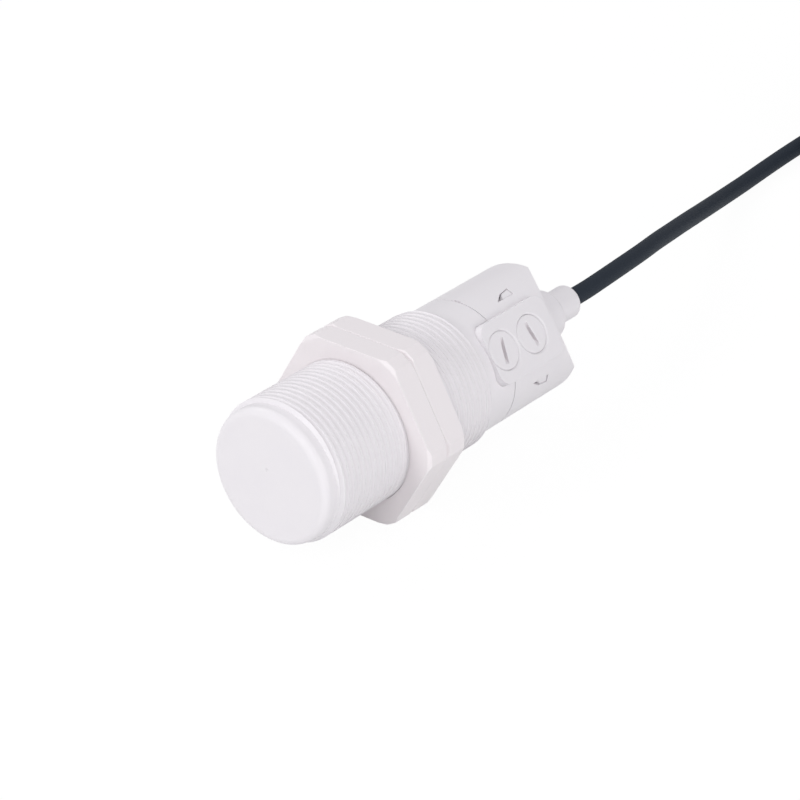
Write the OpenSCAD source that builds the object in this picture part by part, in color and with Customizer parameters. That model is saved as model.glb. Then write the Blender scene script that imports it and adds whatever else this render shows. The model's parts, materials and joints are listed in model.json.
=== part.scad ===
// Capacitive proximity sensor with an M30 x 1.5 barrel, two nuts and a 2 m cable.
// +X runs along the barrel from the sensing face to the cable, +Z is up.
// The origin is on the floor under the middle of the sensor, and the nuts stand on z = 0.

/* [Barrel] */
// Thread diameter over the crests
thread_d = 29.9; // [29.8:0.05:29.95]
// Diameter of the smooth rear part and the rear cap
smooth_d = 28; // [27.6:0.1:28.2]
// Diameter of the smooth band at the sensing face
band_d = 28.3; // [28:0.1:28.6]
// Length of the smooth band at the sensing face
band_len = 3.2; // [2.5:0.1:4]
// Distance from the sensing face to the end of the thread
thread_end = 50.3; // [49.5:0.1:51]
// Distance from the sensing face to the joint between barrel and rear cap
seam_x = 58.5; // [58:0.1:59]
// Thickness of the sensing face
face_wall = 1.2; // [1:0.1:1.5]
// Diameter of the hollow inside the barrel
bore_d = 22; // [21.8:0.1:22.2]

/* [Rear cap] */
// Distance from the sensing face to the rear end face
rear_x = 80.2; // [79.6:0.1:81]
// Direction of the pad's face, in degrees from straight up towards -Y
pad_tilt = 57; // [0:1:90]
// Height of the pad's face over the barrel's axis
pad_h = 14.6; // [14.3:0.1:14.9]
// Width of the pad
pad_w = 13; // [12:0.5:13.5]
// Distance from the sensing face to the front of the pad
pad_front = 52.9; // [52.5:0.1:53]
// Length of the pad along the barrel
pad_len = 20.2; // [20:0.1:20.5]
// Height over the axis of the bevel's lower edge, on the end face
bevel_h = 8; // [7.6:0.1:8.6]

/* [Plugs and trimmers] */
// Diameter of the round seat of each screw plug
seat_d = 8.1; // [7.9:0.1:8.1]
// Depth of the plug's top below the pad's face
plug_sink = 0.1; // [0:0.05:0.4]
// Distance from the front of the pad to the first plug
first_plug = 4.3; // [4.2:0.1:4.4]
// Distance between the two plugs
plug_gap = 9.1; // [9:0.1:9.3]

/* [Nuts] */
// Size of each nut across its flats
nut_af = 36; // [36:0.5:38]
// Thickness of each nut
nut_len = 5.45; // [5:0.05:5.6]
// Distance from the sensing face to the front nut
nut_x = 23.75; // [22:0.25:25]
// Diameter over the nuts' rounded corners
nut_corner_d = 40.2; // [40:0.1:40.8]

/* [Cable] */
// Cable diameter
cable_d = 4; // [3.8:0.1:4.1]
// Diameter of the gland on the end face
gland_d = 10.8; // [10:0.2:12]
// Distance from the sensing face to the end of the gland
gland_end = 87.6; // [86:0.1:88]
// Diameter of the bend sleeve
sleeve_d = 7.2; // [7:0.1:7.6]
// Distance from the sensing face to the end of the bend sleeve
sleeve_end = 95.4; // [95:0.1:96]

/* [Hidden] */
$fn = 64;

white = [0.88, 0.87, 0.89];
cable_black = [0.17, 0.19, 0.22];
axis_z = nut_af / 2;
face_x = -sleeve_end / 2;
eps = 0.01;

// Barrel
thread_r = thread_d / 2;
smooth_r = smooth_d / 2;
band_r = band_d / 2;
bore_r = bore_d / 2;
front_run_in = 0.5;
rear_run_in = 0.4;
face_edge_r = 1.7;
neck_r = 12.4;
neck_end = 70.5;
joint_gap = 0.05;
seam_chamfer = 0.1;
seam_gap = 0.15;

// Rear cap
socket_r = neck_r + joint_gap;
cap_wall = 2.5;
bevel_wall = 2.2;
rear_edge_r = 0.6;
pad_bottom = 9.8;
pad_corner_r = 2.6;
window_angles = [42, 37];
window = [[64.7, 0], [69.9, 0], [69.9, 1.9], [67, 1.5]];
lug = [[66.7, 0.2], [69.7, 0.2], [69.7, 1.7], [67.5, 1.38]];
lug_h = 13.75;
notch_angle = 61;

// Nuts
nut_clearance = 0.07;
nut_mouth = 0.1;
nut_corner_chamfer = 0.8;

// Plugs
plug_xs = [pad_front + first_plug, pad_front + first_plug + plug_gap];
plug_clearance = 0.05;
head_r = seat_d / 2 - plug_clearance;
head_top = pad_h - plug_sink;
head_h = 1.5;
head_edge = 0.2;
seat_chamfer = 0.3;
seal_r = 0.5;
seal_space = 1.05;
seat_floor = head_top - head_h - seal_space;
shank_r = 2.9;
shank_end = pad_bottom;
seal_ring_r = (seat_d / 2 + shank_r) / 2;
slot_w = 0.9;
slot_depth = 1.1;
slot_len = 5.6;
slot_r = (pow(slot_len / 2, 2) + pow(slot_depth, 2)) / (2 * slot_depth);
slot_angles = [-15, 9];

// Board, trimmers and chips: heights are measured from the axis along the pad's direction
board_front = 15;
board_end = 71.5;
board_w = 19.6;
board_bottom = 2.2;
board_top = 3.2;
trimmer_size = [6, 6.4, 4.6];
rotor_r = 1.9;
rotor_top = 8.3;
rotor_pocket = 6.95;
rotor_bottom = 7;
rotor_slot = [3, 0.6, 0.6];
rotor_angles = [30, -50];

// Electrodes
electrode_front = face_wall + 0.05;
electrode_t = 0.35;
electrode_back = electrode_front + electrode_t;
electrode_r = 7.5;
guard_inner_r = 8.3;
guard_outer_r = 10.2;
carrier_r = bore_r - 0.1;
carrier_back = 9;
carrier_floor = 4;
carrier_hollow_r = 9.05;
shield_t = 0.5;
shield_hole_r = 1.3;
pin_r = 0.5;
pin_h = board_bottom - pin_r;
pin_end = 19;
shield_tab = [3, 0.5];
shield_tab_y = 5;
resin_end = 17.5;

// Gland and inner end of the cable
cable_r = cable_d / 2;
hold_gap = 0.03;
gland_spigot_r = 4.2;
gland_chamber_r = 3.4;
gland_front = 76.9;
seal_front = 79.6;
seal_back = 83.5;
sleeve_spigot_r = 3.35;
clamp_front = 74;
clamp_back = 76.8;
clamp_r = 3.8;
cable_inner_x = 73.4;
core_r = 0.65;
inner_core_r = 0.6;

// Cable outside: it leaves level, comes down to the floor and runs into the coil
cable_route = [
    [47.7, 0, 18], [54, 0, 18], [60, 0.3, 18], [68, 1.2, 17.6], [78, 3, 16.5],
    [88, 5.7, 14.7], [98, 8.7, 12.4], [108, 11.8, 10], [118, 14.8, 7.6], [128, 17.6, 5.4],
    [138, 20, 3.6], [148, 21.8, 2.4], [158, 22.9, 2], [168, 23.5, 2], [178, 23.9, 2],
    [190, 24.2, 2], [202, 24.2, 2]
];
coil_pitch = 4.05;
coil_inner_turn = 16.3;
coil_rows = 4;
turns_per_row = 3;
coil_outer_turn = coil_inner_turn + turns_per_row * coil_pitch;
coil_centre = [202, 24.2 - coil_outer_turn];
coil_height = (coil_rows - 1) * coil_pitch + cable_d;
coil_top_row = cable_r + (coil_rows - 1) * coil_pitch;

// Last turn, on top of the coil, and the stripped cores that follow it round
tail_climb = 120;
tail_angle = 255;
tail_end_turn = 22.5;
tail_steps = 25;
core_len = 40;
core_angle = 104;
tip_len = 7;
tip_r = 0.45;
core_steps = 10;
core_start = [-0.8, 0, 0.8];
core_spread = [-2.3, 0, 2.3];
core_lift = [0.7, 1.9, 0.7];
core_drop = 0.8;

// Tie round the coil
tie_angle = 200;
tie_w = 3.6;
tie_t = 0.6;
tie_slack = 0.15;
tie_clasp = [4.6, 5.4, 4.4];

// Lathe profile turned about the barrel's axis: points are [radius, distance from the sensing face]
module turned(points) {
    translate([face_x, 0, axis_z])
        rotate([0, 90, 0])
            rotate_extrude()
                polygon(points);
}

// Round bar along the barrel's axis
module bar(r, from, to) {
    translate([face_x + from, 0, axis_z])
        rotate([0, 90, 0])
            cylinder(r = r, h = to - from);
}

// Local frame of the pad: x from the sensing face, y across the pad, z out through the pad
module padwise() {
    translate([face_x, 0, axis_z])
        rotate([pad_tilt, 0, 0])
            children();
}

// Box in the pad's frame, centred on y
module pad_box(x, y, z, size) {
    translate([x, y - size[1] / 2, z])
        cube(size);
}

// Quarter circle of points, for rounded edges in profiles
function quarter(centre, r, from, steps = 6) =
    [for (i = [0:steps]) centre + r * [cos(from + 90 * i / steps), sin(from + 90 * i / steps)]];

// Tube along points, as one closed solid with flat ends
function unit(v) = v / norm(v);
function heading(p, i) = unit(p[min(i + 1, len(p) - 1)] - p[max(i - 1, 0)]);
function tube_ring(centre, along, r, sides) =
    let (
        side = unit(cross([0, 0, 1], along)),
        up = cross(along, side)
    )
    [for (k = [0:sides - 1])
        let (a = 360 * (k + 0.5) / sides)
        centre + r * (cos(a) * side + sin(a) * up)];
module tube(p, r, sides = 8) {
    rings = len(p);
    points = [for (i = [0:rings - 1]) each tube_ring(p[i], heading(p, i), r, sides)];
    first = [for (k = [0:sides - 1]) k];
    last = [for (k = [0:sides - 1]) rings * sides - 1 - k];
    walls = [for (i = [0:rings - 2], k = [0:sides - 1])
        let (
            here = i * sides + k,
            beside = i * sides + (k + 1) % sides
        )
        each [
            [here, here + sides, beside + sides],
            [here, beside + sides, beside]
        ]];
    polyhedron(points, concat([first, last], walls));
}

// Outline of the pad seen from outside, grown by a small gap all round
module pad_outline(grow = 0) {
    front = pad_front - grow;
    half = pad_w / 2 + grow;
    r = pad_corner_r;
    union() {
        translate([front + r, -half])
            square([pad_len - 2 * r + 2 * grow, 2 * half]);
        translate([front, r - half])
            square([pad_len + 2 * grow, 2 * half - 2 * r]);
        for (x = [front + r, front + pad_len + 2 * grow - r], y = [r - half, half - r])
            translate([x, y])
                circle(r = r);
    }
}

// Space behind the bevelled plane, moved inwards by a depth
module beyond_bevel(depth = 0) {
    padwise()
        translate([rear_x, -30, bevel_h])
            rotate([0, 45, 0])
                translate([-40, 0, -depth])
                    cube([80, 60, 40]);
}

// Snap latches: one polygon below the pad and one above it
module latches(points, bottom, top) {
    for (i = [0, 1])
        let (side = 2 * i - 1)
        padwise()
            rotate([-side * window_angles[i], 0, 0])
                translate([0, 0, bottom])
                    linear_extrude(top - bottom)
                        polygon([for (p = points) [p[0], side * p[1]]]);
}

module barrel() {
    color(white)
        difference() {
            union() {
                turned(concat(
                    [[0, 0]],
                    quarter([band_r - face_edge_r, face_edge_r], face_edge_r, -90),
                    [
                        [band_r, band_len],
                        [thread_r, band_len + front_run_in],
                        [thread_r, thread_end - rear_run_in],
                        [smooth_r, thread_end],
                        [smooth_r, seam_x - seam_chamfer],
                        [smooth_r - seam_chamfer, seam_x],
                        [neck_r, seam_x],
                        [neck_r, neck_end],
                        [bore_r, neck_end],
                        [bore_r, face_wall],
                        [0, face_wall]
                    ]
                ));
                latches(lug, neck_r - 0.8, lug_h);
            }
            padwise()
                translate([0, 0, pad_bottom - 4])
                    linear_extrude(12) {
                        pad_outline(joint_gap);
                        translate([pad_front + pad_corner_r, -pad_w / 2 - joint_gap])
                            square([30, pad_w + 2 * joint_gap]);
                    }
        }
}

module cap_shell() {
    difference() {
        turned(concat(
            [
                [socket_r, seam_x + seam_gap],
                [smooth_r, seam_x + seam_gap]
            ],
            quarter([smooth_r - rear_edge_r, rear_x - rear_edge_r], rear_edge_r, 0),
            [
                [gland_spigot_r + hold_gap, rear_x],
                [gland_spigot_r + hold_gap, rear_x - cap_wall],
                [bore_r, rear_x - cap_wall],
                [bore_r, neck_end + joint_gap],
                [socket_r, neck_end + joint_gap]
            ]
        ));
        beyond_bevel();
    }
}

// Wall behind the bevel, inside the round end
module bevel_backing() {
    difference() {
        intersection() {
            bar(bore_r + eps, neck_end + joint_gap, rear_x - cap_wall + eps);
            beyond_bevel(bevel_wall);
        }
        beyond_bevel();
    }
}

module rear_cap() {
    color(white)
        difference() {
            union() {
                cap_shell();
                bevel_backing();
                padwise()
                    translate([0, 0, pad_bottom])
                        linear_extrude(pad_h - pad_bottom)
                            pad_outline();
            }
            padwise()
                for (x = plug_xs) {
                    translate([x, 0, seat_floor])
                        cylinder(d = seat_d, h = 10);
                    translate([x, 0, pad_h - seat_chamfer])
                        cylinder(r1 = seat_d / 2, r2 = seat_d / 2 + 2 * seat_chamfer, h = 2 * seat_chamfer);
                    translate([x, 0, pad_bottom - 3])
                        cylinder(r = shank_r + plug_clearance, h = 10);
                }
            latches(window, neck_r - 1, 16);
            padwise()
                rotate([-notch_angle, 0, 0])
                    pad_box(seam_x - 1, 0, smooth_r - 0.7, [1.6, 1.8, 2]);
        }
}

// Hexagon nut with its corners chamfered at both faces, standing on one flat
module nut(from) {
    chamfer_r = nut_corner_d / 2 - nut_corner_chamfer;
    chamfer = nut_corner_chamfer * tan(30);
    bore = thread_r + nut_clearance;
    past = 1;
    difference() {
        intersection() {
            translate([face_x + from, 0, axis_z])
                rotate([0, 90, 0])
                    rotate([0, 0, 30])
                        cylinder(d = nut_af / cos(30), h = nut_len, $fn = 6);
            turned([
                [0, from],
                [chamfer_r, from],
                [nut_corner_d / 2, from + chamfer],
                [nut_corner_d / 2, from + nut_len - chamfer],
                [chamfer_r, from + nut_len],
                [0, from + nut_len]
            ]);
        }
        turned([
            [0, from - past],
            [bore + nut_mouth + past, from - past],
            [bore, from + nut_mouth],
            [bore, from + nut_len - nut_mouth],
            [bore + nut_mouth + past, from + nut_len + past],
            [0, from + nut_len + past]
        ]);
    }
}

module front_nut() {
    color(white)
        nut(nut_x);
}

module rear_nut() {
    color(white)
        nut(nut_x + nut_len + joint_gap);
}

// Screw plug with a round-bottomed slot: head in its seat, shank in the pad
module plug(i) {
    color(white)
        padwise()
            translate([plug_xs[i], 0, 0])
                difference() {
                    union() {
                        translate([0, 0, head_top - head_h])
                            cylinder(r = head_r, h = head_h - head_edge);
                        translate([0, 0, head_top - head_edge])
                            cylinder(r1 = head_r, r2 = head_r - head_edge, h = head_edge);
                        translate([0, 0, shank_end])
                            cylinder(r = shank_r, h = head_top - head_h - shank_end + eps);
                    }
                    rotate([0, 0, slot_angles[i]])
                        translate([0, 0, head_top - slot_depth + slot_r])
                            rotate([0, 90, 0])
                                cylinder(r = slot_r, h = slot_w, center = true);
                }
}

// O-ring round the plug's shank, under its head
module seal(i) {
    color([0.12, 0.12, 0.13])
        padwise()
            translate([plug_xs[i], 0, seat_floor + seal_space / 2])
                rotate_extrude()
                    translate([seal_ring_r, 0])
                        circle(r = seal_r, $fn = 24);
}

// Trimmer body on the board, with the round pocket of its rotor
module trimmer(i) {
    color([0.12, 0.27, 0.62])
        padwise()
            difference() {
                pad_box(plug_xs[i] - trimmer_size[0] / 2, 0, board_top, trimmer_size);
                translate([plug_xs[i], 0, rotor_pocket])
                    cylinder(r = rotor_r + plug_clearance, h = 5);
            }
}

// Slotted rotor that a screwdriver turns through the plug's hole
module rotor(i) {
    color([0.93, 0.93, 0.9])
        padwise()
            translate([plug_xs[i], 0, 0])
                difference() {
                    translate([0, 0, rotor_bottom])
                        cylinder(r = rotor_r, h = rotor_top - rotor_bottom);
                    rotate([0, 0, rotor_angles[i]])
                        translate([-rotor_slot[0] / 2, -rotor_slot[1] / 2, rotor_top - rotor_slot[2]])
                            cube([rotor_slot[0], rotor_slot[1], 1]);
                }
}

module sensitivity_plug() {
    plug(0);
}

module delay_plug() {
    plug(1);
}

module sensitivity_seal() {
    seal(0);
}

module delay_seal() {
    seal(1);
}

module sensitivity_trimmer() {
    trimmer(0);
}

module delay_trimmer() {
    trimmer(1);
}

module sensitivity_rotor() {
    rotor(0);
}

module delay_rotor() {
    rotor(1);
}

module circuit_board() {
    color([0.08, 0.36, 0.2])
        padwise()
            pad_box(board_front, 0, board_bottom, [board_end - board_front, board_w, board_top - board_bottom]);
}

// Chip with legs along both long sides
module chip(x, y, size, legs_a_side) {
    pitch = 1.27;
    span = (legs_a_side - 1) * pitch;
    padwise() {
        pad_box(x - size[0] / 2, y, board_top + 0.15, size);
        for (i = [0:legs_a_side - 1], side = [-1, 1])
            pad_box(x - span / 2 + i * pitch - 0.2, y + side * (size[1] / 2 + 0.4), board_top, [0.4, 1, 0.5]);
    }
}

module oscillator_chip() {
    color([0.13, 0.13, 0.14])
        chip(26, 0, [8.7, 3.9, 1.5], 7);
}

module comparator_chip() {
    color([0.13, 0.13, 0.14])
        chip(37, -3, [4.9, 3.9, 1.5], 4);
}

// Power transistor with a wide tab on one side and three legs on the other
module output_transistor() {
    color([0.13, 0.13, 0.14])
        padwise() {
            pad_box(44, 3, board_top + 0.1, [6.5, 3.5, 1.6]);
            pad_box(45.75, 5.5, board_top, [3, 1.6, 0.5]);
            for (i = [-1:1])
                pad_box(47.25 + i * 2.3 - 0.35, 0.5, board_top, [0.7, 1.6, 0.5]);
        }
}

module protection_diodes() {
    color([0.2, 0.2, 0.21])
        padwise()
            for (x = [44.5, 49.6])
                pad_box(x, -6.5, board_top, [4.3, 2.6, 2.1]);
}

module supply_capacitor() {
    color([0.85, 0.6, 0.15])
        padwise()
            pad_box(36, 5, board_top, [7.3, 4.3, 2.8]);
}

module ceramic_capacitors() {
    color([0.72, 0.6, 0.45])
        padwise()
            for (x = [20.5, 25, 29.5], y = [-6.5, 6.5])
                pad_box(x, y, board_top, [3.2, 1.6, 1.2]);
}

module resistors() {
    color([0.1, 0.1, 0.1])
        padwise()
            for (x = [34.5, 37, 39.5], y = [-7.6, 0.9])
                pad_box(x, y, board_top, [2, 1.25, 0.5]);
}

module status_led() {
    color([0.95, 0.75, 0.2])
        padwise()
            pad_box(64.5, 7.2, board_top, [3.2, 2.6, 1.9]);
}

module sensing_electrode() {
    color([0.8, 0.5, 0.3])
        bar(electrode_r, electrode_front, electrode_back);
}

module guard_ring() {
    color([0.8, 0.5, 0.3])
        turned([
            [guard_inner_r, electrode_front],
            [guard_outer_r, electrode_front],
            [guard_outer_r, electrode_back],
            [guard_inner_r, electrode_back]
        ]);
}

// Plastic cup that holds the electrodes against the sensing face
module electrode_carrier() {
    color([0.25, 0.25, 0.27])
        difference() {
            bar(carrier_r, electrode_back, carrier_back);
            bar(carrier_hollow_r, carrier_floor, carrier_back + 1);
            padwise()
                translate([0, 0, pin_h])
                    rotate([0, 90, 0])
                        cylinder(r = pin_r + hold_gap, h = carrier_back, $fn = 24);
        }
}

// Brass disc behind the carrier's floor, with a tab to the board
module shield_plate() {
    color([0.78, 0.62, 0.3])
        union() {
            difference() {
                bar(carrier_hollow_r - hold_gap, carrier_floor, carrier_floor + shield_t);
                padwise()
                    translate([0, 0, pin_h])
                        rotate([0, 90, 0])
                            cylinder(r = shield_hole_r, h = carrier_back, $fn = 24);
            }
            padwise()
                pad_box(
                    carrier_floor,
                    shield_tab_y,
                    board_bottom - shield_tab[1],
                    [pin_end - carrier_floor, shield_tab[0], shield_tab[1]]
                );
        }
}

// Wire from the sensing electrode to the underside of the board
module electrode_pin() {
    color([0.75, 0.75, 0.78])
        padwise()
            translate([electrode_back, 0, pin_h])
                rotate([0, 90, 0])
                    cylinder(r = pin_r, h = pin_end - electrode_back, $fn = 24);
}

// Resin cast behind the electrodes and round the front of the board
module potting_resin() {
    color([0.3, 0.27, 0.22])
        difference() {
            union() {
                bar(carrier_hollow_r - hold_gap, carrier_floor + shield_t, carrier_back + hold_gap + eps);
                bar(carrier_r, carrier_back + hold_gap, resin_end);
            }
            circuit_board();
            shield_plate();
            electrode_pin();
        }
}

module cable_gland() {
    chamber_front = seal_front - joint_gap;
    color(white)
        turned([
            [cable_r + 0.15, gland_front],
            [gland_spigot_r, gland_front],
            [gland_spigot_r, rear_x],
            [gland_d / 2, rear_x],
            [gland_d / 2, gland_end - 0.5],
            [gland_d / 2 - 0.5, gland_end],
            [gland_chamber_r, gland_end],
            [gland_chamber_r, chamber_front],
            [cable_r + 0.15, chamber_front]
        ]);
}

module cable_seal() {
    color([0.12, 0.12, 0.13])
        turned([
            [cable_r + hold_gap, seal_front],
            [gland_chamber_r - hold_gap, seal_front],
            [gland_chamber_r - hold_gap, seal_back],
            [cable_r + hold_gap, seal_back]
        ]);
}

module bend_sleeve() {
    end_r = 0.9;
    color(white)
        turned(concat(
            [
                [cable_r + hold_gap, seal_back + joint_gap],
                [sleeve_spigot_r, seal_back + joint_gap],
                [sleeve_spigot_r, gland_end + hold_gap],
                [sleeve_d / 2, gland_end + hold_gap]
            ],
            quarter([sleeve_d / 2 - end_r, sleeve_end - end_r], end_r, 0),
            [[cable_r + hold_gap, sleeve_end]]
        ));
}

// Collar crimped on the cable inside the cap, so that it can't be pulled out
module cable_clamp() {
    color([0.7, 0.7, 0.72])
        turned([
            [cable_r + hold_gap, clamp_front],
            [clamp_r, clamp_front],
            [clamp_r, clamp_back],
            [cable_r + hold_gap, clamp_back]
        ]);
}

module cable_inner_end() {
    color(cable_black)
        bar(cable_r, cable_inner_x, sleeve_end);
}

// Core from the cable's inner end to its place under the board, in the pad's frame
module inner_core(start_y, start_h, place_y) {
    padwise()
        tube([
            [cable_inner_x, start_y, start_h],
            [cable_inner_x - 1, start_y, start_h],
            [71, (start_y * 2 + place_y) / 3, (start_h + 0.5) / 2],
            [69, (start_y + place_y * 2) / 3, 1.2],
            [67.5, place_y, board_bottom - inner_core_r],
            [65, place_y, board_bottom - inner_core_r]
        ], inner_core_r);
}

module inner_brown_core() {
    color([0.45, 0.26, 0.12])
        inner_core(-0.8, 0.5, -4);
}

module inner_blue_core() {
    color([0.1, 0.3, 0.7])
        inner_core(0, -0.9, 0);
}

module inner_black_core() {
    color([0.1, 0.1, 0.1])
        inner_core(0.8, 0.5, 4);
}

module cable_run() {
    color(cable_black)
        tube(cable_route, cable_r);
}

// Outer shape of the turns that lie on the floor
module cable_coil() {
    inner = coil_inner_turn - cable_r;
    outer = coil_outer_turn + cable_r;
    color(cable_black)
        translate([coil_centre[0], coil_centre[1], 0])
            rotate_extrude()
                polygon(concat(
                    quarter([outer - cable_r, coil_height - cable_r], cable_r, 0),
                    quarter([inner + cable_r, coil_height - cable_r], cable_r, 90),
                    quarter([inner + cable_r, cable_r], cable_r, 180),
                    quarter([outer - cable_r, cable_r], cable_r, 270)
                ));
}

// Point on the coil: angles run clockwise from +Y, seen from above
function coil_point(angle, r, z) =
    [coil_centre[0] + r * sin(angle), coil_centre[1] + r * cos(angle), z];
function ease(t) = t * t * (3 - 2 * t);
function tail_radius(angle) =
    coil_outer_turn + (tail_end_turn - coil_outer_turn) * max(0, angle) / tail_angle;
function tail_height(angle) =
    coil_top_row + coil_pitch * ease(min(1, angle / tail_climb + 0.5));

module cable_tail() {
    start = -tail_climb / 2;
    step = (tail_angle - start) / tail_steps;
    color(cable_black)
        tube([for (a = [start:step:tail_angle + eps]) coil_point(a, tail_radius(a), tail_height(a))], cable_r);
}

// Line of one stripped core: it comes down onto the coil and spreads a little
function core_point(i, t) =
    coil_point(
        tail_angle + core_angle * t,
        tail_end_turn + core_start[i] + core_spread[i] * pow(t, 1.5),
        coil_height + core_r + core_lift[i] * (1 - ease(min(1, t / core_drop)))
    );
module core(i) {
    insulated = 1 - tip_len / core_len;
    tube([for (k = [0:core_steps]) core_point(i, insulated * k / core_steps)], core_r);
}

module brown_core() {
    color([0.45, 0.26, 0.12])
        core(0);
}

module blue_core() {
    color([0.1, 0.3, 0.7])
        core(1);
}

module black_core() {
    color([0.1, 0.1, 0.1])
        core(2);
}

module tinned_tips() {
    color([0.8, 0.8, 0.8])
        for (i = [0:2])
            tube([for (k = [0:2]) core_point(i, 1 - tip_len / core_len * (2 - k) / 2)], tip_r);
}

// Section through the coil and its last turn, as the tie holds it
module tie_section() {
    low = tie_t + cable_r;
    hull() {
        for (r = [coil_inner_turn, coil_outer_turn], z = [low, coil_top_row])
            translate([r, z])
                circle(r = cable_r + tie_slack, $fn = 24);
        translate([tail_radius(tie_angle), coil_top_row + coil_pitch])
            circle(r = cable_r + tie_slack, $fn = 24);
    }
}

module coil_tie() {
    clasp_z = coil_top_row - 2.5;
    color([0.1, 0.1, 0.1])
        translate([coil_centre[0], coil_centre[1], 0])
            rotate([90, 0, 90 - tie_angle])
                translate([0, 0, -tie_w / 2]) {
                    linear_extrude(tie_w)
                        difference() {
                            offset(r = tie_t - tie_slack, $fn = 24)
                                tie_section();
                            tie_section();
                        }
                    translate([coil_outer_turn + cable_r + tie_t / 2, clasp_z, (tie_w - tie_clasp[2]) / 2])
                        cube(tie_clasp);
                }
}

barrel();
rear_cap();
front_nut();
rear_nut();
sensitivity_plug();
delay_plug();
sensitivity_seal();
delay_seal();
sensitivity_trimmer();
delay_trimmer();
sensitivity_rotor();
delay_rotor();
circuit_board();
oscillator_chip();
comparator_chip();
output_transistor();
protection_diodes();
supply_capacitor();
ceramic_capacitors();
resistors();
status_led();
sensing_electrode();
guard_ring();
electrode_carrier();
shield_plate();
electrode_pin();
potting_resin();
cable_gland();
cable_seal();
bend_sleeve();
cable_clamp();
cable_inner_end();
inner_brown_core();
inner_blue_core();
inner_black_core();
cable_run();
cable_coil();
cable_tail();
brown_core();
blue_core();
black_core();
tinned_tips();
coil_tie();
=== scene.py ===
"""Capacitive proximity sensor: thread, cable, finishes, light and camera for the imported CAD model."""
import json
import math

import bmesh
import bpy
from mathutils import Matrix, Vector


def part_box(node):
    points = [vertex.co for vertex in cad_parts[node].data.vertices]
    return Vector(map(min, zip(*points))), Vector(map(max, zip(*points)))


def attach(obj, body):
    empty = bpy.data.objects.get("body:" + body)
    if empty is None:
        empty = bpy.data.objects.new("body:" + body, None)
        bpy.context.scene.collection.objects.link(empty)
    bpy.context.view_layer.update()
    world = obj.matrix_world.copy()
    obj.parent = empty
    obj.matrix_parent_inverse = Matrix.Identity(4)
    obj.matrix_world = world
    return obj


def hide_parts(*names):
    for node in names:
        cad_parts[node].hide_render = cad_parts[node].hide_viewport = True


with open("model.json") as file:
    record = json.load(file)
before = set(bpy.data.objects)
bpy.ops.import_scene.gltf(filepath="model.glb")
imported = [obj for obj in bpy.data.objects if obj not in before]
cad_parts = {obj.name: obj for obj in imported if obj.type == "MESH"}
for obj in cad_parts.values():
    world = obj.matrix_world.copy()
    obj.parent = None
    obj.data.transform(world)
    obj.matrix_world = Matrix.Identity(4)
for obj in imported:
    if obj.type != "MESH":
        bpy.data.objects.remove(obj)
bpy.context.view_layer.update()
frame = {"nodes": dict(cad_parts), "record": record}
nodes = frame["nodes"]

# Driving sizes, in metres. x is measured from the sensing face.
MM = 0.001
AXIS_HEIGHT = 18 * MM
FACE_X = -47.7 * MM
THREAD_RADIUS = 14.95 * MM
THREAD_PITCH = 1.5 * MM
THREAD_DEPTH = 0.92 * MM
GROOVE_ROOT = 0.15 * MM
GROOVE_MOUTH = 1.2 * MM
THREAD_START = 3.2 * MM
THREAD_END = 51 * MM
PAST_CREST = 0.1 * MM
CABLE_DIAMETER = 4 * MM

# Points in one turn of the thread, the share of its length over which it fades at each end, and to what size
POINTS_PER_TURN = 72
THREAD_FADE = 0.02
THREAD_LEAST = 0.02

# The pad on the rear cap and the seats in it
PAD_TILT = 57
PAD_HEIGHT = 14.6 * MM
PLUG_XS = (57.2 * MM, 66.3 * MM)
SEAT_RIM_RADIUS = 4.6 * MM
PAD_FACE_ZONE = PAD_HEIGHT - 0.05 * MM
CAP_END_ZONE = 70.5 * MM
NUT_MOUTH_ZONE = 16 * MM

# Rounding of the moulded edges, and the shares of it that some edges get
CAP_ROUNDING = 0.6 * MM
NUT_ROUNDING = 0.28 * MM
PLUG_ROUNDING = 0.12 * MM
GLAND_ROUNDING = 0.25 * MM
SLEEVE_ROUNDING = 0.2 * MM
FULL_SHARE = 1
CAP_END_SHARE = 0.5
CAP_DETAIL_SHARE = 0.12
NUT_MOUTH_SHARE = 0.1
ROUNDING_SEGMENTS = 3

# The nuts' own thread: how far it stays off the groove, and where its turns start and end
NUT_THREAD_OFF_ROOT = 0.12 * MM
NUT_THREAD_OFF_FLANKS = 0.12 * MM
NUT_THREAD_IN_BORE = 0.13 * MM
NUT_THREAD_INSET = 0.02 * MM
NUT_THREAD_START = THREAD_START + 12 * THREAD_PITCH
NUT_THREAD_END = NUT_THREAD_START + 11 * THREAD_PITCH

# Small mark that the moulding gate left on the sensing face
GATE_MARK = (FACE_X, 0.46 * MM, 19.75 * MM)
GATE_MARK_RADIUS = 0.25 * MM
GATE_MARK_LINE = 0.2 * MM
GATE_MARK_STRENGTH = 0.5
GATE_MARK_DEPTH = 0.15 * MM

# Points of a mesh nearer than this are one, and faces that turn less than this are one flat face
MERGE_DISTANCE = 0.001 * MM
FLAT_ANGLE = math.radians(0.3)

# Edges sharper than this are rounded; edges sharper than the shading angles, in degrees, stay crisp
ROUNDED_EDGE_ANGLE = math.radians(28)
ROUNDED_SHADING = 50
THREAD_SHADING = 45

# A facet no wider than this about the barrel's axis can be part of a round surface
TURNED_FACET_COSINE = math.cos(math.radians(4))
# A face whose direction lies this much along the axis is square to it
SQUARE_FACE = 0.9999
# A face whose direction lies this much in the plane through the axis is turned about it
TURNED_FACE = 0.998

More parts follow.
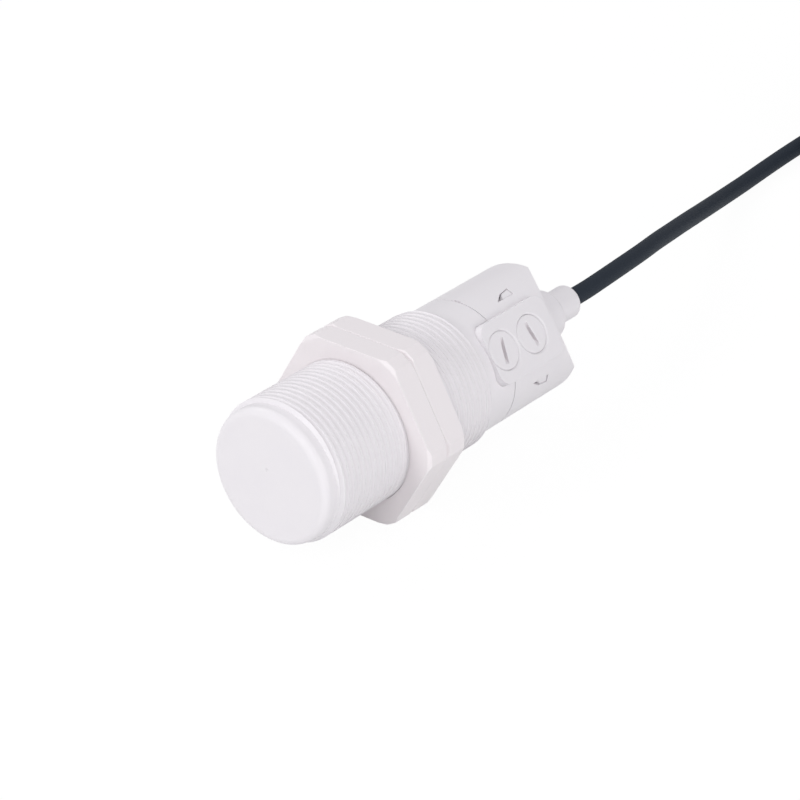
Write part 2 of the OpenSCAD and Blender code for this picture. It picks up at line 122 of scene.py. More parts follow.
# The cable's route in millimetres, as in the part's source
CABLE_ROUTE = [
    (47.7, 0, 18), (54, 0, 18), (60, 0.3, 18), (68, 1.2, 17.6), (78, 3, 16.5),
    (88, 5.7, 14.7), (98, 8.7, 12.4), (108, 11.8, 10), (118, 14.8, 7.6), (128, 17.6, 5.4),
    (138, 20, 3.6), (148, 21.8, 2.4), (158, 22.9, 2), (168, 23.5, 2), (178, 23.9, 2),
    (190, 24.2, 2), (202, 24.2, 2),
]
COIL_PITCH = 4.05
COIL_INNER_TURN = 16.3
COIL_ROWS = 4
TURNS_PER_ROW = 3
COIL_OUTER_TURN = COIL_INNER_TURN + TURNS_PER_ROW * COIL_PITCH
COIL_CENTRE = (202, 24.2 - COIL_OUTER_TURN)
CABLE_RADIUS_MM = 2
COIL_HEIGHT = (COIL_ROWS - 1) * COIL_PITCH + 2 * CABLE_RADIUS_MM
ROW_CLIMB = 120
# Degrees between two points of the coil, and how many steps of the drawn line join two points
COIL_STEP = 15
ROUTE_STEPS = 4
TAIL_ANGLE = 255
TAIL_END_TURN = 22.5

# The stripped cores in millimetres: where each starts beside the cable's line, spreads to and rises from
CORE_COLOURS = ("brown", "blue", "black")
CORE_RADIUS_MM = 0.65
CORE_LENGTH = 40
CORE_STEPS = 24
CORE_ANGLE = 104
CORE_START = (-0.8, 0, 0.8)
CORE_SPREAD = (-2.3, 0, 2.3)
CORE_LIFT = (0.7, 1.9, 0.7)
CORE_DROP = 0.8
TIP_LENGTH = 7
TUBE_RESOLUTION = 4

# The photograph's camera
CAMERA_PLACE = (-0.44154, -0.34937, 0.32071)
CAMERA_AZIMUTH = -51.12
CAMERA_ELEVATION = 28.53
CAMERA_ROLL = -0.14
CAMERA_LENS = 145
CAMERA_FILM = 36
CAMERA_NEAREST = 0.01
CAMERA_FURTHEST = 20

# Share of plain white in the floor, as the camera sees it; the rest carries the shadow
FLOOR_WHITE = 0.93
FLOOR_GLOW = 1.03
FLOOR_HALF_WIDTH = 6
FLOOR_BELOW = 0.2 * MM

# Soft light from all round, and four round lamps: name, place, power
WORLD_TINT = (0.975, 0.97, 1, 1)
WORLD_STRENGTH = 0.455
LAMP_SIZE = 0.4
LAMPS = [
    ("box_at_the_front", (-1.1, 0.2, 0.5), 3.45),
    ("box_at_the_side", (0.05, -0.75, 0.3), 1.43),
    ("box_over_the_back", (0, 0.5, 0.5), 1.27),
    ("box_by_the_camera", (-0.45, -0.35, 0.4), 1.03),
]


def add_object(name, data):
    piece = bpy.data.objects.new(name, data)
    bpy.context.scene.collection.objects.link(piece)
    return piece


def place_camera():
    data = bpy.data.cameras.new("camera")
    data.sensor_width = CAMERA_FILM
    data.lens = CAMERA_LENS
    data.clip_start = CAMERA_NEAREST
    data.clip_end = CAMERA_FURTHEST
    camera = add_object("camera", data)
    camera.matrix_world = (
        Matrix.Translation(CAMERA_PLACE)
        @ Matrix.Rotation(math.radians(CAMERA_AZIMUTH), 4, "Z")
        @ Matrix.Rotation(math.radians(90 - CAMERA_ELEVATION), 4, "X")
        @ Matrix.Rotation(math.radians(CAMERA_ROLL), 4, "Z")
    )
    bpy.context.scene.camera = camera


def evaluated_mesh(piece):
    """The piece's mesh with its modifiers applied."""
    graph = bpy.context.evaluated_depsgraph_get()
    return bpy.data.meshes.new_from_object(piece.evaluated_get(graph))


def apply_modifiers(piece):
    mesh = evaluated_mesh(piece)
    piece.modifiers.clear()
    piece.data = mesh


# Cable
def ease(t):
    t = min(1, max(0, t))
    return t * t * (3 - 2 * t)


def coil_point(angle, radius, height):
    """Point on the coil: angles run clockwise from +Y, seen from above."""
    turned = math.radians(angle)
    x = COIL_CENTRE[0] + radius * math.sin(turned)
    y = COIL_CENTRE[1] + radius * math.cos(turned)
    return Vector((x, y, height)) * MM


def row_height(angle):
    """The cable climbs to the next row around the end of the row below."""
    row_turn = 360 * TURNS_PER_ROW
    climbs = 0
    for row in range(1, COIL_ROWS + 1):
        climbs += ease((angle - row * row_turn) / ROW_CLIMB + 0.5)
    return CABLE_RADIUS_MM + COIL_PITCH * climbs


def turn_radius(angle):
    """Rows run inwards and outwards in turn, and the last turn lies on top."""
    row, along = divmod(angle / 360, TURNS_PER_ROW)
    if row >= COIL_ROWS:
        on_top = angle - 360 * TURNS_PER_ROW * COIL_ROWS
        return COIL_OUTER_TURN + (TAIL_END_TURN - COIL_OUTER_TURN) * on_top / TAIL_ANGLE
    if row % 2:
        return COIL_INNER_TURN + COIL_PITCH * along
    return COIL_OUTER_TURN - COIL_PITCH * along


def cable_points():
    points = [Vector(point) * MM for point in CABLE_ROUTE]
    last = 360 * TURNS_PER_ROW * COIL_ROWS + TAIL_ANGLE
    for k in range(1, last // COIL_STEP + 1):
        angle = k * COIL_STEP
        points.append(coil_point(angle, turn_radius(angle), row_height(angle)))
    return points


def smooth_line(points, steps):
    """A smooth line through the points, with steps in each stretch between two of them."""
    ends = [2 * points[0] - points[1], *points, 2 * points[-1] - points[-2]]
    line = [points[0]]
    for before, here, there, after in zip(ends, ends[1:], ends[2:], ends[3:]):
        for k in range(1, steps + 1):
            t = k / steps
            line.append(0.5 * (
                2 * here
                + (there - before) * t
                + (2 * before - 5 * here + 4 * there - after) * t ** 2
                + (3 * here - 3 * there + after - before) * t ** 3
            ))
    return line


def core_points(i, end):
    """Line of one stripped core, up to end as a share of its length."""
    points = []
    for k in range(CORE_STEPS + 1):
        t = end * k / CORE_STEPS
        radius = TAIL_END_TURN + CORE_START[i] + CORE_SPREAD[i] * t ** 1.5
        height = COIL_HEIGHT + CORE_RADIUS_MM + CORE_LIFT[i] * (1 - ease(t / CORE_DROP))
        points.append(coil_point(TAIL_ANGLE + CORE_ANGLE * t, radius, height))
    return points


def round_tube(name, line, radius):
    """A round tube along a line of points, as a closed mesh."""
    curve = bpy.data.curves.new(name, "CURVE")
    curve.dimensions = "3D"
    curve.bevel_depth = radius
    curve.bevel_resolution = TUBE_RESOLUTION
    curve.use_fill_caps = True
    spline = curve.splines.new("POLY")
    spline.points.add(len(line) - 1)
    for knot, point in zip(spline.points, line):
        knot.co = (*point, 1)
    drawn = add_object(name + "_line", curve)
    tube = add_object(name, evaluated_mesh(drawn))
    bpy.data.objects.remove(drawn)
    tube.data.shade_smooth()
    return tube


def make_cable():
    line = smooth_line(cable_points(), ROUTE_STEPS)
    cable = round_tube("sheathed_cable", line, CABLE_DIAMETER / 2)
    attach(cable, "sensor")
    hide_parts("cable_run", "cable_coil", "cable_tail")
    return cable, line


def make_cores():
    share = 1 - TIP_LENGTH / CORE_LENGTH
    pieces = []
    for i, colour in enumerate(CORE_COLOURS):
        core = round_tube(f"{colour}_core_wire", core_points(i, share), CORE_RADIUS_MM * MM)
        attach(core, "sensor")
        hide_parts(f"{colour}_core")
        pieces.append(core)
    return pieces


place_camera()
cable, cable_line = make_cable()
cores = make_cores()


# Finishes
# An edge is rubbed where the surface's direction and its rounded-over direction agree this little
RUBBED_AGREEMENT = (0.995, 0.85)
RUBBED_PATCHES = (0.4, 0.65)
EDGE_SAMPLES = 4
# A recess gets painted shade where it is open this little to its surroundings
PAINTED_SHADE_OPENNESS = (0.82, 0.4)
PAINTED_SHADE_PATCHES = (0.3, 0.6)
PAINTED_SHADE_LEAST = 0.6
RECESS_SAMPLES = 6
PATCH_DETAIL = 3
CLOUD_DETAIL = 4
SKIN_DETAIL = 3
SKIN_RELIEF = 0.1 * MM


def new_material(name):
    material = bpy.data.materials.new(name)
    material.use_nodes = True
    tree = material.node_tree
    return material, tree, tree.nodes["Principled BSDF"]


def new_group(name, inputs, outputs):
    group = bpy.data.node_groups.new(name, "ShaderNodeTree")
    for label, kind, value in inputs:
        socket = group.interface.new_socket(label, in_out="INPUT", socket_type=kind)
        socket.default_value = value
    for label, kind in outputs:
        group.interface.new_socket(label, in_out="OUTPUT", socket_type=kind)
    return group, group.nodes.new("NodeGroupInput"), group.nodes.new("NodeGroupOutput")


def ramp(tree, low, high):
    """A node that turns low into 0 and high into 1."""
    node = tree.nodes.new("ShaderNodeMapRange")
    node.inputs["From Min"].default_value = low
    node.inputs["From Max"].default_value = high
    return node


def noise(tree, detail):
    node = tree.nodes.new("ShaderNodeTexNoise")
    node.inputs["Detail"].default_value = detail
    return node


def calculation(tree, operation):
    node = tree.nodes.new("ShaderNodeMath")
    node.operation = operation
    return node


def rubbed_edges_group():
    """Mask of the edges that handling rubs pale and smooth, broken up by noise."""
    group, given, result = new_group(
        "rubbed_edges",
        [("Width", "NodeSocketFloat", 0.4 * MM), ("Break Scale", "NodeSocketFloat", 900)],
        [("Mask", "NodeSocketFloat")],
    )
    make = group.nodes.new
    link = group.links.new
    place = make("ShaderNodeTexCoord")
    surface = make("ShaderNodeNewGeometry")
    round_over = make("ShaderNodeBevel")
    round_over.samples = EDGE_SAMPLES
    along = make("ShaderNodeVectorMath")
    along.operation = "DOT_PRODUCT"
    edge = ramp(group, *RUBBED_AGREEMENT)
    patches = noise(group, PATCH_DETAIL)
    worn = ramp(group, *RUBBED_PATCHES)
    both = calculation(group, "MULTIPLY")
    link(given.outputs["Width"], round_over.inputs["Radius"])
    link(round_over.outputs["Normal"], along.inputs[0])
    link(surface.outputs["Normal"], along.inputs[1])
    link(along.outputs["Value"], edge.inputs["Value"])
    link(place.outputs["Object"], patches.inputs["Vector"])
    link(given.outputs["Break Scale"], patches.inputs["Scale"])
    link(patches.outputs["Fac"], worn.inputs["Value"])
    link(edge.outputs["Result"], both.inputs[0])
    link(worn.outputs["Result"], both.inputs[1])
    link(both.outputs["Value"], result.inputs["Mask"])
    return group


def painted_recess_shade_group():
    """Mask of the grooves and corners that get painted shade where little light reaches them, broken up by
    noise.
    """
    group, given, result = new_group(
        "painted_recess_shade",
        [("Reach", "NodeSocketFloat", 1.2 * MM), ("Break Scale", "NodeSocketFloat", 250)],
        [("Mask", "NodeSocketFloat")],
    )
    make = group.nodes.new
    link = group.links.new
    place = make("ShaderNodeTexCoord")
    openness = make("ShaderNodeAmbientOcclusion")
    openness.samples = RECESS_SAMPLES
    openness.only_local = True
    closed = ramp(group, *PAINTED_SHADE_OPENNESS)
    patches = noise(group, PATCH_DETAIL)
    held = ramp(group, *PAINTED_SHADE_PATCHES)
    held.inputs["To Min"].default_value = PAINTED_SHADE_LEAST
    both = calculation(group, "MULTIPLY")
    link(given.outputs["Reach"], openness.inputs["Distance"])
    link(openness.outputs["AO"], closed.inputs["Value"])
    link(place.outputs["Object"], patches.inputs["Vector"])
    link(given.outputs["Break Scale"], patches.inputs["Scale"])
    link(patches.outputs["Fac"], held.inputs["Value"])
    link(closed.outputs["Result"], both.inputs[0])
    link(held.outputs["Result"], both.inputs[1])
    link(both.outputs["Value"], result.inputs["Mask"])
    return group


def moulded_grain_group():
    """Cloudy shade variation, roughness variation and a fine skin, in the object's own coordinates."""
    group, given, result = new_group(
        "moulded_grain",
        [
            ("Light Colour", "NodeSocketColor", (0.8, 0.8, 0.8, 1)),
            ("Dark Colour", "NodeSocketColor", (0.7, 0.7, 0.7, 1)),
            ("Cloud Scale", "NodeSocketFloat", 120),
            ("Skin Scale", "NodeSocketFloat", 2500),
            ("Roughness Low", "NodeSocketFloat", 0.4),
            ("Roughness High", "NodeSocketFloat", 0.5),
        ],
        [("Color", "NodeSocketColor"), ("Roughness", "NodeSocketFloat"), ("Height", "NodeSocketFloat")],
    )
    make = group.nodes.new
    link = group.links.new
    place = make("ShaderNodeTexCoord")
    cloud = noise(group, CLOUD_DETAIL)
    skin = noise(group, SKIN_DETAIL)
    shade = make("ShaderNodeMix")
    shade.data_type = "RGBA"
    rough = make("ShaderNodeMapRange")
    link(place.outputs["Object"], cloud.inputs["Vector"])
    link(place.outputs["Object"], skin.inputs["Vector"])
    link(given.outputs["Cloud Scale"], cloud.inputs["Scale"])
    link(given.outputs["Skin Scale"], skin.inputs["Scale"])
    link(cloud.outputs["Fac"], shade.inputs["Factor"])
    link(given.outputs["Light Colour"], shade.inputs["A"])
    link(given.outputs["Dark Colour"], shade.inputs["B"])
    link(cloud.outputs["Fac"], rough.inputs["Value"])
    link(given.outputs["Roughness Low"], rough.inputs["To Min"])
    link(given.outputs["Roughness High"], rough.inputs["To Max"])
    link(shade.outputs["Result"], result.inputs["Color"])
    link(rough.outputs["Result"], result.inputs["Roughness"])
    link(skin.outputs["Fac"], result.inputs["Height"])
    return group


GRAIN = moulded_grain_group()
RUBBED_EDGES = rubbed_edges_group()
PAINTED_RECESS_SHADE = painted_recess_shade_group()


def mixed(tree, kind, mask, base, value):
    """Mix of a base with one value where the mask says."""
    mix = tree.nodes.new("ShaderNodeMix")
    mix.data_type = kind
    mix.inputs["B"].default_value = value
    tree.links.new(mask, mix.inputs["Factor"])
    tree.links.new(base, mix.inputs["A"])
    return mix.outputs["Result"]


def mask_of(tree, group):
    """The mask that a shared group gives, with the group's own values."""
    node = tree.nodes.new("ShaderNodeGroup")
    node.node_tree = group
    return node.outputs["Mask"]


def wear_and_painted_shade(tree, grain, surface, pale, smooth, painted_shade_colour):
    """Handled plastic: paler and smoother on its worn edges, with painted shade darkening its grooves and
    corners.
    """
    rubbed = mask_of(tree, RUBBED_EDGES)
    # Painted shade: the grooves and corners are darkened in colour where little light reaches them
    painted_shade = mask_of(tree, PAINTED_RECESS_SHADE)
    shade = mixed(tree, "RGBA", painted_shade, grain.outputs["Color"], (*painted_shade_colour, 1))
    shade = mixed(tree, "RGBA", rubbed, shade, (*pale, 1))
    rough = mixed(tree, "FLOAT", rubbed, grain.outputs["Roughness"], smooth)
    tree.links.new(shade, surface.inputs["Base Color"])
    tree.links.new(rough, surface.inputs["Roughness"])


def grained(name, light, dark, roughness, clouds=120, skin=2500, bump=0.02, metallic=0, gloss=0.5, worn=None):
    """A finish from the moulded grain: two shades, a span of roughness and a fine bump.

    worn gives the rubbed edges' colour and roughness, and the colour of the painted shade in the recesses.
    """
    material, tree, surface = new_material(name)
    grain = tree.nodes.new("ShaderNodeGroup")
    grain.node_tree = GRAIN
    grain.inputs["Light Colour"].default_value = (*light, 1)
    grain.inputs["Dark Colour"].default_value = (*dark, 1)
    grain.inputs["Cloud Scale"].default_value = clouds
    grain.inputs["Skin Scale"].default_value = skin
    grain.inputs["Roughness Low"].default_value = roughness[0]
    grain.inputs["Roughness High"].default_value = roughness[1]
    relief = tree.nodes.new("ShaderNodeBump")
    relief.inputs["Strength"].default_value = bump
    relief.inputs["Distance"].default_value = SKIN_RELIEF
    surface.inputs["Metallic"].default_value = metallic
    surface.inputs["Specular IOR Level"].default_value = gloss
    if worn:
        wear_and_painted_shade(tree, grain, surface, *worn)
    else:
        tree.links.new(grain.outputs["Color"], surface.inputs["Base Color"])
        tree.links.new(grain.outputs["Roughness"], surface.inputs["Roughness"])
    tree.links.new(grain.outputs["Height"], relief.inputs["Height"])
    tree.links.new(relief.outputs["Normal"], surface.inputs["Normal"])
    return material


# Each worn tuple gives the rubbed edges' colour and roughness, then the colour of the painted shade in the
# grooves and corners
WHITE_HOUSING = grained(
    "white_housing", (0.87, 0.845, 0.865), (0.845, 0.82, 0.85), (0.42, 0.55), 150, 3000, 0.12,
    worn=((0.885, 0.865, 0.885), 0.38, (0.74, 0.7, 0.72)),
)
NUT_PLASTIC = grained(
    "nut_plastic", (0.905, 0.862, 0.876), (0.89, 0.845, 0.861), (0.42, 0.55), 150, 3000, 0.12,
    worn=((0.905, 0.866, 0.872), 0.42, (0.78, 0.73, 0.73)),
)


def add_gate_mark(material):
    """A small dimple in the sensing face, where the moulding gate was cut off."""
    tree = material.node_tree
    surface = tree.nodes["Principled BSDF"]
    skin = surface.inputs["Normal"].links[0].from_socket
    place = tree.nodes.new("ShaderNodeTexCoord")
    away = tree.nodes.new("ShaderNodeVectorMath")
    away.operation = "DISTANCE"
    away.inputs[1].default_value = GATE_MARK
    off_rim = calculation(tree, "SUBTRACT")
    off_rim.inputs[1].default_value = GATE_MARK_RADIUS
    either_side = calculation(tree, "ABSOLUTE")
    depth = ramp(tree, 0, GATE_MARK_LINE)
    depth.interpolation_type = "SMOOTHSTEP"
    relief = tree.nodes.new("ShaderNodeBump")
    relief.inputs["Strength"].default_value = GATE_MARK_STRENGTH
    relief.inputs["Distance"].default_value = GATE_MARK_DEPTH
    tree.links.new(place.outputs["Object"], away.inputs[0])
    tree.links.new(away.outputs["Value"], off_rim.inputs[0])
    tree.links.new(off_rim.outputs["Value"], either_side.inputs[0])
    tree.links.new(either_side.outputs["Value"], depth.inputs["Value"])
    tree.links.new(depth.outputs["Result"], relief.inputs["Height"])
    tree.links.new(skin, relief.inputs["Normal"])
    tree.links.new(relief.outputs["Normal"], surface.inputs["Normal"])


add_gate_mark(WHITE_HOUSING)
FINISHES = {
    "white_plastic": WHITE_HOUSING,
    "nut_plastic": NUT_PLASTIC,
    "seal_rubber": grained("seal_rubber", (0.02, 0.02, 0.022), (0.03, 0.03, 0.032), (0.6, 0.75)),
    "trimmer_blue": grained("trimmer_blue", (0.03, 0.1, 0.45), (0.025, 0.08, 0.38), (0.3, 0.4)),
    "rotor_white": grained("rotor_white", (0.78, 0.77, 0.72), (0.72, 0.71, 0.66), (0.35, 0.45)),
    "board_green": grained("board_green", (0.015, 0.13, 0.05), (0.01, 0.09, 0.035), (0.25, 0.4), 600),
    "chip_black": grained("chip_black", (0.02, 0.02, 0.022), (0.03, 0.03, 0.03), (0.5, 0.65), 300, 6000, 0.3),
    "tantalum_yellow": grained("tantalum_yellow", (0.7, 0.35, 0.03), (0.6, 0.3, 0.03), (0.35, 0.5)),
    "ceramic_tan": grained("ceramic_tan", (0.42, 0.28, 0.16), (0.34, 0.22, 0.12), (0.35, 0.5)),
    "resistor_black": grained("resistor_black", (0.015, 0.015, 0.015), (0.03, 0.03, 0.03), (0.35, 0.5)),
    "led_yellow": grained("led_yellow", (0.85, 0.55, 0.05), (0.75, 0.48, 0.05), (0.15, 0.25)),
    "copper": grained("copper", (0.75, 0.32, 0.17), (0.6, 0.24, 0.12), (0.25, 0.4), 400, 3000, 0.05, 1),
    "shield_brass": grained(
        "shield_brass", (0.75, 0.5, 0.18), (0.62, 0.4, 0.14), (0.25, 0.4), 400, 3000, 0.05, 1,
    ),
    "carrier_grey": grained("carrier_grey", (0.05, 0.05, 0.055), (0.04, 0.04, 0.045), (0.45, 0.6)),
    "tinned_metal": grained(
        "tinned_metal", (0.72, 0.72, 0.73), (0.55, 0.55, 0.56), (0.25, 0.45), 900, 5000, 0.2, 1,
    ),
    "resin_brown": grained("resin_brown", (0.06, 0.035, 0.02), (0.045, 0.028, 0.018), (0.1, 0.25)),
    "cable_black": grained(
        "cable_black", (0.024, 0.031, 0.043), (0.031, 0.039, 0.052), (0.55, 0.7), 200, 4000, 0.25, gloss=0.1,
    ),
    "core_brown": grained("core_brown", (0.13, 0.05, 0.018), (0.1, 0.04, 0.015), (0.35, 0.45)),
    "core_blue": grained("core_blue", (0.01, 0.06, 0.4), (0.008, 0.05, 0.32), (0.35, 0.45)),
    "core_black": grained("core_black", (0.015, 0.015, 0.015), (0.025, 0.025, 0.025), (0.35, 0.45)),
    "tie_black": grained("tie_black", (0.015, 0.015, 0.016), (0.022, 0.022, 0.024), (0.35, 0.5)),
}


def finish_with(piece, slot):
    piece.data.materials.clear()
    piece.data.materials.append(FINISHES[slot])


# Threads
def groove_width(depth):
    """Width of the barrel's groove at a depth below the crests."""
    return GROOVE_MOUTH + (GROOVE_ROOT - GROOVE_MOUTH) * depth / THREAD_DEPTH


def new_geometry_group(name, inputs):
    tree = bpy.data.node_groups.new(name, "GeometryNodeTree")
    for label, kind, value in inputs:
        socket = tree.interface.new_socket(label, in_out="INPUT", socket_type=kind)
        if value is not None:
            socket.default_value = value
    tree.interface.new_socket("Geometry", in_out="OUTPUT", socket_type="NodeSocketGeometry")
    return tree, tree.nodes.new("NodeGroupInput"), tree.nodes.new("NodeGroupOutput")


def thread_turns_group():
    """Geometry Nodes: a right-handed thread form round the barrel's axis, fading out at both ends."""
    tree, given, result = new_geometry_group("thread_turns", [
        ("Crest Radius", "NodeSocketFloat", THREAD_RADIUS),
        ("Pitch", "NodeSocketFloat", THREAD_PITCH),
        ("Start", "NodeSocketFloat", THREAD_START),
        ("End", "NodeSocketFloat", THREAD_END),
        ("Inner Depth", "NodeSocketFloat", THREAD_DEPTH),
        ("Outer Height", "NodeSocketFloat", PAST_CREST),
        ("Inner Width", "NodeSocketFloat", GROOVE_ROOT),
        ("Outer Width", "NodeSocketFloat", GROOVE_MOUTH),
    ])
    make = tree.nodes.new
    link = tree.links.new

    def math_node(operation, a, b):
        node = calculation(tree, operation)
        for socket, value in zip(node.inputs, (a, b)):
            if isinstance(value, (int, float)):
                socket.default_value = value
            else:
                link(value, socket)
        return node.outputs["Value"]

    length = math_node("SUBTRACT", given.outputs["End"], given.outputs["Start"])
    turns = math_node("DIVIDE", length, given.outputs["Pitch"])
    helix = make("GeometryNodeCurveSpiral")
    helix.inputs["Resolution"].default_value = POINTS_PER_TURN
    link(turns, helix.inputs["Rotations"])
    link(given.outputs["Crest Radius"], helix.inputs["Start Radius"])
    link(given.outputs["Crest Radius"], helix.inputs["End Radius"])
    link(length, helix.inputs["Height"])
    upright = make("GeometryNodeSetCurveNormal")
    upright.mode = "Z_UP"
    link(helix.outputs["Curve"], upright.inputs["Curve"])

    along = make("GeometryNodeSplineParameter")
    run_in = ramp(tree, 0, THREAD_FADE)
    run_in.inputs["To Min"].default_value = THREAD_LEAST
    run_out = ramp(tree, 1, 1 - THREAD_FADE)
    run_out.inputs["To Min"].default_value = THREAD_LEAST
    link(along.outputs["Factor"], run_in.inputs["Value"])
    link(along.outputs["Factor"], run_out.inputs["Value"])
    fade = math_node("MINIMUM", run_in.outputs["Result"], run_out.outputs["Result"])
    fading = make("GeometryNodeSetCurveRadius")
    link(upright.outputs["Curve"], fading.inputs["Curve"])
    link(fade, fading.inputs["Radius"])

    form = make("GeometryNodeCurvePrimitiveQuadrilateral")
    form.mode = "TRAPEZOID"
    form.inputs["Offset"].default_value = 0
    link(given.outputs["Inner Width"], form.inputs["Bottom Width"])
    link(given.outputs["Outer Width"], form.inputs["Top Width"])
    link(math_node("ADD", given.outputs["Inner Depth"], given.outputs["Outer Height"]), form.inputs["Height"])
    off_crest = math_node("SUBTRACT", given.outputs["Outer Height"], given.outputs["Inner Depth"])
    shift = make("ShaderNodeCombineXYZ")
    link(math_node("MULTIPLY", off_crest, 0.5), shift.inputs["Y"])
    centred = make("GeometryNodeTransform")
    link(form.outputs["Curve"], centred.inputs["Geometry"])
    link(shift.outputs["Vector"], centred.inputs["Translation"])
    swept = make("GeometryNodeCurveToMesh")
    swept.inputs["Fill Caps"].default_value = True
    link(fading.outputs["Curve"], swept.inputs["Curve"])
    link(centred.outputs["Geometry"], swept.inputs["Profile Curve"])

    along_barrel = make("GeometryNodeTransform")
    along_barrel.inputs["Rotation"].default_value = (0, math.pi / 2, 0)
    at_start = make("ShaderNodeCombineXYZ")
    link(math_node("ADD", given.outputs["Start"], FACE_X), at_start.inputs["X"])
    at_start.inputs["Z"].default_value = AXIS_HEIGHT
    link(swept.outputs["Mesh"], along_barrel.inputs["Geometry"])
    link(at_start.outputs["Vector"], along_barrel.inputs["Translation"])
    link(along_barrel.outputs["Geometry"], result.inputs["Geometry"])
    return tree


def put_turns(tree, turns, values):
    """The thread turns as a node in another tree, with its own values."""
    node = tree.nodes.new("GeometryNodeGroup")
    node.node_tree = turns
    for label, value in values.items():
        node.inputs[label].default_value = value
    return node.outputs["Geometry"]


def finish_tree(tree, mesh, given, result):
    """Every tree ends in real geometry that carries its material."""
    realize = tree.nodes.new("GeometryNodeRealizeInstances")
    coloured = tree.nodes.new("GeometryNodeSetMaterial")
    tree.links.new(mesh, realize.inputs["Geometry"])
    tree.links.new(realize.outputs["Geometry"], coloured.inputs["Geometry"])
    tree.links.new(given.outputs["Material"], coloured.inputs["Material"])
    tree.links.new(coloured.outputs["Geometry"], result.inputs["Geometry"])


def barrel_thread_group(turns):
    """Geometry Nodes: cuts the thread's groove out of the barrel."""
    tree, given, result = new_geometry_group("barrel_thread", [
        ("Geometry", "NodeSocketGeometry", None), ("Material", "NodeSocketMaterial", None),
    ])
    groove = put_turns(tree, turns, {"Outer Width": groove_width(-PAST_CREST)})
    cut = tree.nodes.new("GeometryNodeMeshBoolean")
    cut.operation = "DIFFERENCE"
    cut.solver = "EXACT"
    tree.links.new(given.outputs["Geometry"], cut.inputs["Mesh 1"])
    tree.links.new(groove, cut.inputs["Mesh 2"])
    finish_tree(tree, cut.outputs["Mesh"], given, result)
    return tree


def nut_thread_group(turns):
    """Geometry Nodes: the thread inside the nuts, which sits in the barrel's groove and clear of it."""
    tree, given, result = new_geometry_group("nut_thread", [
        ("Geometry", "NodeSocketGeometry", None), ("Material", "NodeSocketMaterial", None),
    ])
    tip = THREAD_DEPTH - NUT_THREAD_OFF_ROOT
    ridge = put_turns(tree, turns, {
        "Start": NUT_THREAD_START,
        "End": NUT_THREAD_END,
        "Inner Depth": tip,
        "Outer Height": NUT_THREAD_IN_BORE,
        "Inner Width": groove_width(tip) - NUT_THREAD_OFF_FLANKS,
        "Outer Width": groove_width(-NUT_THREAD_IN_BORE) - NUT_THREAD_OFF_FLANKS,
    })
    finish_tree(tree, ridge, given, result)
    return tree


def grow(piece, tree, slot):
    """Runs a Geometry Nodes tree on a piece in a slot's finish and keeps the plain mesh."""
    grown = piece.modifiers.new(tree.name, "NODES")
    grown.node_group = tree
    for item in tree.interface.items_tree:
        if item.item_type == "SOCKET" and item.in_out == "INPUT" and item.name == "Material":
            grown[item.identifier] = FINISHES[slot]
    apply_modifiers(piece)


def merged_copy(name, node):
    """A copy of a CAD node with its loose triangles merged and its flat faces whole."""
    piece = add_object(name, nodes[node].data.copy())
    shell = bmesh.new()
    shell.from_mesh(piece.data)
    bmesh.ops.remove_doubles(shell, verts=shell.verts, dist=MERGE_DISTANCE)
    bmesh.ops.dissolve_limit(shell, angle_limit=FLAT_ANGLE, verts=shell.verts, edges=shell.edges)
    shell.to_mesh(piece.data)
    shell.free()
    return piece


def shade_by_angle(piece, degrees):
    """Smooth shading that keeps sharp edges, with broad faces holding their own direction."""
    piece.data.shade_smooth()
    piece.data.set_sharp_from_angle(angle=math.radians(degrees))
    weighted = piece.modifiers.new("broad_faces_first", "WEIGHTED_NORMAL")
    weighted.keep_sharp = True
    apply_modifiers(piece)


def outwards(point):
    """Direction straight out from the barrel's axis at a point."""
    return Vector((0, point[1], point[2] - AXIS_HEIGHT)).normalized()


def profile_direction(face, corners):
    """Axial and radial parts of a turned facet's direction, or None for any other face."""
    out = outwards(face.center)
    profile = Vector((face.normal.x, face.normal.dot(out)))
    if abs(profile.x) > SQUARE_FACE:
        return profile.normalized()
    narrow = all(outwards(corner).dot(out) > TURNED_FACET_COSINE for corner in corners)
    if narrow and profile.length > TURNED_FACE:
        return profile.normalized()
    return None


def smooth_turned_faces(piece, degrees):
    """Gives facets turned about the barrel's axis the directions of their round surface."""
    mesh = piece.data
    directions = [corner.vector.copy() for corner in mesh.corner_normals]
    profiles = {}
    meeting = {}
    for face in mesh.polygons:
        corners = [mesh.vertices[v].co for v in face.vertices]
        profile = profile_direction(face, corners)
        if profile:
            profiles[face.index] = profile
            for v in face.vertices:
                meeting.setdefault(v, []).append((profile, face.area))
    limit = math.cos(math.radians(degrees))
    for face in mesh.polygons:
        own = profiles.get(face.index)
        if own is None:
            continue
        for corner, v in zip(face.loop_indices, face.vertices):
            mean = Vector((0, 0))
            for profile, area in meeting[v]:
                if profile.dot(own) > limit:
                    mean += profile * area
            mean.normalize()
            directions[corner] = Vector((mean.x, 0, 0)) + outwards(mesh.vertices[v].co) * mean.y
    mesh.normals_split_custom_set(directions)


def stand_in(piece, body, node, slot):
    """Puts a finished piece in place of the CAD node that it was made from, and hides the node."""
    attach(piece, body)
    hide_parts(node)
    finish_with(piece, slot)


# Rounded mouldings
def pad_height(point):
    """Height of a point over the barrel's axis, straight out through the pad."""
    tilt = math.radians(PAD_TILT)
    return (point[2] - AXIS_HEIGHT) * math.cos(tilt) - point[1] * math.sin(tilt)


def across_pad(point):
    """Distance of a point from the pad's middle line, across the pad."""
    tilt = math.radians(PAD_TILT)
    return (point[2] - AXIS_HEIGHT) * math.sin(tilt) + point[1] * math.cos(tilt)


def in_a_seat(point):
    """Whether a point lies in or on the rim of one of the plugs' seats."""
    x = point.x - FACE_X
    return any(math.hypot(x - plug_x, across_pad(point)) < SEAT_RIM_RADIUS for plug_x in PLUG_XS)


